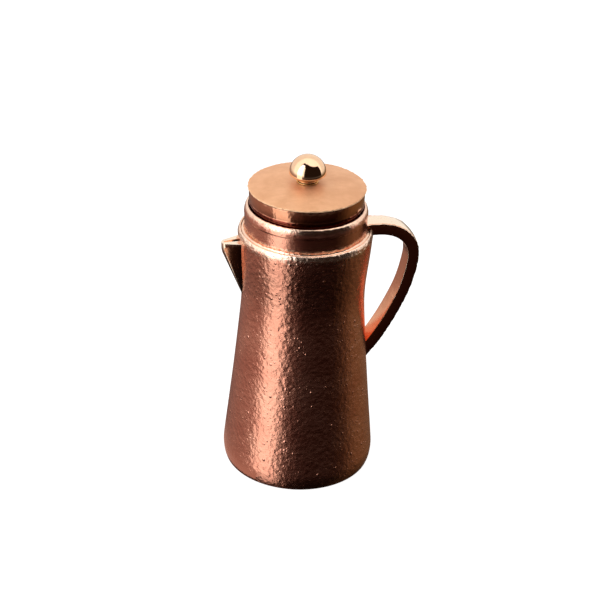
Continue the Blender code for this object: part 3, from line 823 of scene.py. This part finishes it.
def jug_shell():
    """The cast body, with the hole behind the spout."""
    points, closed = outline_of("jug_body")
    top = max(z for r, z in points)
    points = [(r, z + SHELL_RAISE * MM if z > top - TINY else z) for r, z in points]
    rows = denser(rounded(points, closed, 0.15 * MM), closed, 1.2 * MM)
    rows = [(r, z, shell_wear(r / MM, z / MM)) for r, z, wear_and_painted_light in rows]
    hole = hull_mesh("hole", [(-radius * MM, side * half * MM, z * MM)
                              for radius in POUR_HOLE_RADII for side in (-1, 1)
                              for z, half in (POUR_HOLE_FLOOR, POUR_HOLE_TOP)])
    mesh = lathe("jug_shell", rows, closed, 240, roughened(0.06 * MM, 9.0 * MM, 3.1))
    mesh = carve(mesh, hole, angle=42)
    add_piece("jug_shell", mesh, cast_copper, "jug", "jug_copper", "jug_body")


NECK_WALL = 31.0
JOINS_ABOVE = 40.0  # spout and handle meet the body above this
SAME_HEIGHT = 0.4  # of outline points this close in height, the outermost counts


def jug_envelope(depth):
    """The jug's outside, a little smaller, that brazed pieces are cut back to."""
    body = outline_of("jug_body")[0]
    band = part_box("shoulder_ring")[1]
    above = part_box("neck_collar")[1].z + 20 * PAST
    wall = NECK_WALL * MM - depth
    top = max(z for r, z in body)
    outer = {(r, z) for r, z in body if z > JOINS_ABOVE * MM
             and r == max(q for q, y in body if abs(y - z) < SAME_HEIGHT * MM)}
    outer = sorted(outer, key=lambda point: -point[1])
    rows = [(0.0, above, 0.0), (wall, above, 0.0), (wall, band.z - depth, 0.0),
            (band.x - depth, band.z - depth, 0.0), (band.x - depth, top, 0.0)]
    rows += [(r - depth, z, 0.0) for r, z in outer]
    rows.append((0.0, outer[-1][1], 0.0))
    return lathe("envelope", rows, False, 144)


def smooth_line(points, samples):
    """A smooth curve through 2D points."""
    line = []
    last = len(points) - 1
    for index in range(last):
        a, b, c, d = (Vector(points[min(max(index + step, 0), last)]) for step in (-1, 0, 1, 2))
        for part in range(samples):
            t = part / samples
            line.append(0.5 * (2 * b + (c - a) * t + (2 * a - 5 * b + 4 * c - d) * t ** 2
                               + (3 * b - a - 3 * c + d) * t ** 3))
    line.append(Vector(points[-1]))
    return line


STRAP_WIDTH = 11.0
STRAP_THICKNESS = 6.4
STRAP_CROWN = 0.35  # how far the outer face bulges
STRAP_CORNER = 0.35
STRAP_CORNER_STEPS, STRAP_FACE_PARTS = 5, 10
STRAP_RAGGED = 0.6  # the outer corners are uneven over this width
STRAP_UNEVEN, STRAP_CALM = 0.28, 0.12  # by this much, elsewhere this share of it
STRAP_WAVES, STRAP_SAMPLES = 1.5, 16  # size of the waves, steps between two points
STRAP_LEAST_WEAR_AND_HIGHLIGHT, STRAP_WEAR_AND_HIGHLIGHT_FOOT, STRAP_WEAR_AND_HIGHLIGHT_RISE = 0.25, 75.0, 35.0  # wear and painted highlight, which grow with height
STRAP_LINE = [  # its centre line: distance from the axis, height
    (28.0, 132.8), (40.0, 132.9), (48.2, 130.4), (53.7, 125.3), (55.9, 118.8),
    (55.4, 111.0), (52.6, 99.0), (48.2, 88.0), (42.7, 77.0), (36.6, 67.1), (29.6, 58.2),
]


def strap_section():
    """The strap's section as (outwards, sideways, edge value) rows: a crowned outer face,
    a flatter inner face and rounded edges. The outer face is painted paler all over, partly
    as a highlight."""
    rows = []
    corner = STRAP_CORNER
    side = STRAP_WIDTH / 2 - corner
    for face, crown in ((1, STRAP_CROWN), (-1, STRAP_CROWN / 3)):
        edge = STRAP_THICKNESS / 2 - crown - corner
        arc = []
        for step in range(STRAP_CORNER_STEPS + 1):
            angle = math.radians(90 / STRAP_CORNER_STEPS * step)
            arc.append((edge + corner * math.sin(angle), side + corner * math.cos(angle),
                        math.sin(2 * angle) ** 2))
        rows += [(face * across, face * y, worn_and_painted_light) for across, y, worn_and_painted_light in arc]
        # The outer face is painted paler all over: a painted highlight, partly real wear.
        for part in range(1, STRAP_FACE_PARTS):
            t = 1 - 2 * part / STRAP_FACE_PARTS
            rows.append((face * (STRAP_THICKNESS / 2 - crown * t * t), face * side * t,
                         1.0 if face > 0 else 0.0))
        rows += [(face * across, -face * y, worn_and_painted_light) for across, y, worn_and_painted_light in reversed(arc)]
    return rows


def strap_handle(envelope):
    """The strap, swept along its centre line and cut off inside the wall."""
    line = smooth_line(STRAP_LINE, STRAP_SAMPLES)
    section = strap_section()
    vertices, wear_and_painted_light, faces = [], [], []
    sides = len(section)
    last = len(line) - 1
    for index, spot in enumerate(line):
        along = (line[min(index + 1, last)] - line[max(index - 1, 0)]).normalized()
        out = Vector((-along.y, along.x))
        for across, y, worn_and_painted_light in section:
            place = spot + out * across
            vertex = Vector((place.x, y, place.y)) * MM
            corner = abs(y) > STRAP_WIDTH / 2 - STRAP_RAGGED and across > 0
            uneven = noise.noise(vertex / (STRAP_WAVES * MM)) * (1.0 if corner else STRAP_CALM)
            vertices.append(vertex + Vector((out.x, 0, out.y)) * (STRAP_UNEVEN * MM * uneven))
            # Painted highlight, partly real wear: paler higher up the strap.
            upper = (place.y - STRAP_WEAR_AND_HIGHLIGHT_FOOT) / STRAP_WEAR_AND_HIGHLIGHT_RISE
            wear_and_painted_light.append(worn_and_painted_light * min(max(upper, STRAP_LEAST_WEAR_AND_HIGHLIGHT), 1.0))
        if index:
            base = index * sides
            for step in range(sides):
                other = (step + 1) % sides
                faces.append((base - sides + step, base - sides + other, base + other,
                              base + step))
    faces.append(list(range(sides)))
    faces.append(list(range(last * sides, (last + 1) * sides)))
    mesh = to_mesh("strap_handle", vertices, faces, wear_and_painted_light)
    add_piece("strap_handle", carve(mesh, envelope, angle=35), strap_copper, "jug",
              "strap_copper", "handle")


SPOUT_ROOT = 33.6
SPOUT_TIP_HALF = 2.9
SPOUT_TIP = 42.8 - SPOUT_TIP_HALF
SPOUT_KEEL_HALF = 0.45
SPOUT_BACK = [  # distance from the axis, half width, height
    (SPOUT_ROOT - 5.0, 7.5, 129.3), (SPOUT_ROOT - 5.0, SPOUT_KEEL_HALF, 90.5),
    (SPOUT_ROOT, 5.0, 128.8), (SPOUT_ROOT - 2.0, SPOUT_KEEL_HALF, 99.5),
]
SPOUT_NOSE = [(1.0, 1.0, 128.2), (0.98, 0.85, 125.0), (0.8, 0.4, 122.6)]  # shares, height
NOSE_STEPS = 12
CHANNEL = [  # distance from the axis, half widths at the top and floor, floor
    (29.0, 2.0, 1.5, 117.0), (37.5, 1.1, 0.9, 122.0), (41.4, 0.6, 0.5, 127.4),
]
CHANNEL_TOP = 131.5
CHANNEL_HALF, CHANNEL_END = 2.05, -41.6  # what the wear and painted highlight take for the channel
NOSE_START, NOSE_FOOT = -41.9, 123.0
SPOUT_WEAR_AND_HIGHLIGHT, SPOUT_TOP, SPOUT_FADE = 1.5, 128.6, 0.9  # at the top, lost over this depth


def spout_wear_and_highlight(x, y, z):
    """Rubbed in the channel, on the nose and along the top; the paler colour is partly a painted
    highlight, on the nose most of all.
    """
    if abs(y) < CHANNEL_HALF and x > CHANNEL_END:
        return 1.0
    if x < NOSE_START and z > NOSE_FOOT:
        return 1.0
    return min(1.0, max(0.0, SPOUT_WEAR_AND_HIGHLIGHT - (SPOUT_TOP - z) / SPOUT_FADE))


def pouring_beak(envelope):
    """The V-shaped spout, with its channel cut in the top."""
    points = [(-x, side * y, z) for side in (-1, 1) for x, y, z in SPOUT_BACK]
    for step in range(NOSE_STEPS + 1):
        angle = math.pi / 2 + math.pi * step / NOSE_STEPS
        x, y = SPOUT_TIP_HALF * math.cos(angle), SPOUT_TIP_HALF * math.sin(angle)
        points += [(-SPOUT_TIP + x * long, y * wide, z) for long, wide, z in SPOUT_NOSE]
    beak = hull_mesh("pouring_beak", [Vector(point) * MM for point in points])
    groove = hull_mesh("groove", [Vector((-radius, side * half, z)) * MM
                                  for radius, top, foot, floor in CHANNEL for side in (-1, 1)
                                  for half, z in ((top, CHANNEL_TOP), (foot, floor))])
    mesh = carve(beak, groove, envelope, angle=30)
    mesh = bevelled(mesh, 0.16 * MM, 2, 30)
    if "wear_and_painted_light" in mesh.attributes:  # the envelope's, which cutting carries over
        mesh.attributes.remove(mesh.attributes["wear_and_painted_light"])
    set_wear_and_painted_light(mesh, [spout_wear_and_highlight(*(vertex.co / MM)) for vertex in mesh.vertices])
    add_piece("pouring_beak", mesh, strap_copper, "jug", "jug_copper", "spout")


# ---- lid fittings and plunger head ----

LID_WALL_FOOT, LID_WALL_TOP, LID_WALL_RADIUS = 149.7, 155.5, 28.5
LID_BULGE = 0.22
LID_SOFFIT_RADIUS, LID_SOFFIT = 28.0, 149.6  # painted shade under the wall, below this height
LID_EDGE_RADIUS, LID_EDGE, LID_CHIPPED = 28.7, 156.3, 4.5


def lid_top():
    """The lid, with a slightly barrelled wall and a chipped edge."""
    points, closed = outline_of("lid_cap")
    rows = denser(rounded(points, closed, 0.15 * MM), closed, 0.6 * MM)
    low, high = LID_WALL_FOOT * MM, LID_WALL_TOP * MM
    barrelled = []
    for r, z, wear_and_painted_light in rows:
        if r > LID_WALL_RADIUS * MM and low < z < high:
            t = (2 * z - low - high) / (high - low)
            r += LID_BULGE * MM * (1 - t * t)
        # Painted shade on the wall's lowest part, under the lid.
        if r > LID_SOFFIT_RADIUS * MM and z < LID_SOFFIT * MM:
            wear_and_painted_light = -1.0
        barrelled.append((r, z, wear_and_painted_light))
    slight = roughened(0.10 * MM, 1.5 * MM, 5.9)

    def chipped(r, z, angle, worn_and_painted_light):
        on_edge = r > LID_EDGE_RADIUS * MM and z > LID_EDGE * MM
        return slight(r, z, angle, worn_and_painted_light) * (LID_CHIPPED if on_edge else 1.0)

    mesh = lathe("lid_top", barrelled, closed, 480, chipped)
    add_piece("lid_top", mesh, lid_copper, "lid", "bright_copper", "lid_cap")


BUSH_FLANGE, THREAD_TOP = 158.0, 157.5  # heights
THREAD_PITCH, THREAD_DEPTH = 0.8, 0.3


def guide_bush():
    """The rod's bush, with a thread on the end that its nut goes up."""
    points, closed = outline_of("rod_bush")
    rows = denser(rounded(points, closed, 0.12 * MM), closed, 0.09 * MM)
    outside = max(r for r, z in points if z < BUSH_FLANGE * MM) - 0.05 * MM
    pitch = THREAD_PITCH * MM

    def thread(r, z, angle, worn_and_painted_light):
        if r < outside or z > THREAD_TOP * MM:
            return 0.0
        turn = (z / pitch - angle / math.tau) % 1.0
        return -THREAD_DEPTH * MM * abs(2 * turn - 1) ** 0.8

    mesh = lathe("guide_bush", rows, closed, 72, thread)
    add_piece("guide_bush", mesh, brass, "lid", "brass", "rod_bush")


NUT_CROWN = 0.94  # share of the half width that the chamfer leaves level
NUT_CHAMFER = math.radians(30)
NUT_SINK = 0.45


def hexagon_nut(name, node, bore, body):
    """A hexagon nut, chamfered at both ends, with a countersunk bore of this radius."""
    low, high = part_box(node)
    flat, corner = high.x, high.y
    blank = hull_mesh(name, [(corner * math.sin(math.radians(60 * step)),
                              corner * math.cos(math.radians(60 * step)), z)
                             for step in range(6) for z in (low.z, high.z)])
    crown, reach = flat * NUT_CROWN, corner + PAST
    fall = (reach - crown) * math.tan(NUT_CHAMFER)
    tools = []
    for z, side in ((high.z, 1), (low.z, -1)):
        rows = [(crown, z + side * PAST, 0.0), (crown, z, 0.0),
                (reach, z - side * fall, 0.0), (reach, z + side * PAST, 0.0)]
        tools.append(lathe("chamfer", rows, True, 96))
    hole, sink = bore * MM, NUT_SINK * MM
    rows = [(0.0, high.z + PAST, 0.0), (hole + PAST + sink, high.z + PAST, 0.0),
            (hole, high.z - sink, 0.0), (hole, low.z + sink, 0.0),
            (hole + PAST + sink, low.z - PAST, 0.0), (0.0, low.z - PAST, 0.0)]
    tools.append(lathe("bore", rows, False, 96))
    mesh = bevelled(carve(blank, *tools, angle=25), 0.06 * MM, 2, 25)
    add_piece(name, mesh, steel, body, "steel", node)


FRAME_RIM, FRAME_SPOKE = 2.2, 2.4  # widths
FRAME_HUB, FRAME_BORE = 5.5, 1.65  # radii
FRAME_WINDOWS = 6


def prism(name, outline, low, high):
    """An upright prism on a flat outline."""
    count = len(outline)
    faces = [list(range(count)), list(range(count, 2 * count))]
    faces += [[step, (step + 1) % count, count + (step + 1) % count, count + step]
              for step in range(count)]
    return to_mesh(name, [(x, y, z) for z in (low, high) for x, y in outline], faces)


def spoked_frame(place):
    """A stamped wheel with softened edges."""
    node = place + "_screen_frame"
    low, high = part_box(node)
    bore = FRAME_BORE * MM
    rows = [(high.x, high.z, 0.0), (high.x, low.z, 0.0), (bore, low.z, 0.0),
            (bore, high.z, 0.0)]
    disc = lathe(node, rows, True, 192)
    outer, inner = high.x - FRAME_RIM * MM, FRAME_HUB * MM
    windows = []
    for index in range(FRAME_WINDOWS):
        middle = math.tau * (index + 0.5) / FRAME_WINDOWS
        outline = []
        for radius, steps, way in ((outer, 24, 1), (inner, 8, -1)):
            half = math.pi / FRAME_WINDOWS - FRAME_SPOKE * MM / 2 / radius
            for step in range(steps + 1):
                angle = middle + way * half * (2 * step / steps - 1)
                outline.append((radius * math.cos(angle), radius * math.sin(angle)))
        windows.append(prism("window", outline, low.z - PAST, high.z + PAST))
    mesh = bevelled(carve(disc, *windows, angle=30), 0.16 * MM, 3, 40)
    add_piece(place + "_wheel", mesh, sheet_steel, "plunger", "steel", node)


WIRE_PITCH = 1.4
WIRE_RADIUS = 0.1
SCREEN_REACH = 24.4  # radius of the cloth
SCREEN_BORE = 1.9  # radius of its hole


def woven_screen(place):
    """Plain-woven wire cloth cut to a disc, with a hole for the rod."""
    node = place + "_mesh_screen"
    low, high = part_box(node)
    middle = (low.z + high.z) / 2
    count = int(SCREEN_REACH / WIRE_PITCH)
    lines = []
    for index in range(-count, count + 1):
        offset = (index + 0.5) * WIRE_PITCH
        if abs(offset) >= SCREEN_REACH:
            continue
        reach = math.sqrt(SCREEN_REACH ** 2 - offset ** 2)
        inner = math.sqrt(max(SCREEN_BORE ** 2 - offset ** 2, 0.0))
        spans = [(-reach, -inner), (inner, reach)] if inner else [(-reach, reach)]
        for start, end in spans:
            steps = max(2, round((end - start) / WIRE_PITCH * 4))
            for over in (1, -1):
                line = []
                for step in range(steps + 1):
                    t = start + (end - start) * step / steps
                    wave = math.cos(math.pi * (t / WIRE_PITCH - 0.5 + index))
                    z = middle + over * WIRE_RADIUS * MM * wave
                    line.append(Vector((t * MM, offset * MM, z) if over > 0
                                       else (offset * MM, t * MM, z)))
                lines.append(line)
    mesh = tubes(place + "_cloth", lines, WIRE_RADIUS * MM, 6)
    add_piece(place + "_cloth", mesh, wire_steel, "plunger", "steel", node)


COIL_TURNS = 290
COIL_STEPS = 12  # sides of one turn
COIL_RADIUS = 0.56  # to the middle of the wire
COIL_WIRE = 0.19  # the wire's radius


def coiled_rim(place):
    """The spring round a screen's edge: wire wound into a closed ring."""
    node = place + "_rim_spring"
    low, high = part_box(node)
    middle = (low.z + high.z) / 2
    ring = high.x - (COIL_RADIUS + COIL_WIRE) * MM
    line = []
    for step in range(COIL_TURNS * COIL_STEPS):
        around = math.tau * step / (COIL_TURNS * COIL_STEPS)
        wind = math.tau * step / COIL_STEPS
        radius = ring + COIL_RADIUS * MM * math.cos(wind)
        line.append(Vector((radius * math.cos(around), radius * math.sin(around),
                            middle + COIL_RADIUS * MM * math.sin(wind))))
    mesh = tubes(place + "_coil", [line], COIL_WIRE * MM, 6, closed=True, wound=True)
    add_piece(place + "_coil", mesh, steel, "plunger", "steel", node)


place_camera()
studio_world()
pale_floor()
lit_floor()

jug_shell()
turned_piece("jug_floor", "base_plate", cast_copper, "jug", "jug_copper",
             segments=144, radius=0.3)
turned_piece("shoulder_band", "shoulder_ring", cast_copper, "jug", "jug_copper",
             segments=360, radius=0.1, step=0.4, shift=roughened(0.13 * MM, 1.5 * MM, 7.7),
             worn_and_painted_light=shoulder_wear_and_highlight)
turned_piece("collar", "neck_collar", neck_copper, "jug", "jug_copper",
             segments=360, radius=0.12, step=0.5, shift=roughened(0.11 * MM, 1.6 * MM, 1.3),
             worn_and_painted_light=neck_wear_and_painted_light)
inside_jug = jug_envelope(BLEND)
pouring_beak(inside_jug.copy())
strap_handle(inside_jug)

lid_top()
turned_piece("lid_tube", "lid_sleeve", sleeve_copper, "lid", "jug_copper",
             segments=192, radius=0.15, step=0.6, worn_and_painted_light=sleeve_painted_shade)
guide_bush()
turned_piece("guide_washer", "bush_washer", steel, "lid", "steel", segments=72, radius=0.15)
hexagon_nut("guide_nut", "bush_nut", 3.45, "lid")

turned_piece("ball_knob", "knob", knob_copper, "plunger", "bright_copper",
             segments=128, radius=0.2)
turned_piece("rod", "plunger_rod", steel, "plunger", "steel", segments=48, radius=0.15)
turned_piece("end_cap_nut", "end_nut", steel, "plunger", "steel", segments=64, radius=0.2)
turned_piece("head_spacer", "screen_spacer", steel, "plunger", "steel",
             segments=64, radius=0.2)
hexagon_nut("locking_nut", "lock_nut", 1.65, "plunger")
for place in ("lower", "upper"):
    spoked_frame(place)
    woven_screen(place)
    coiled_rim(place)
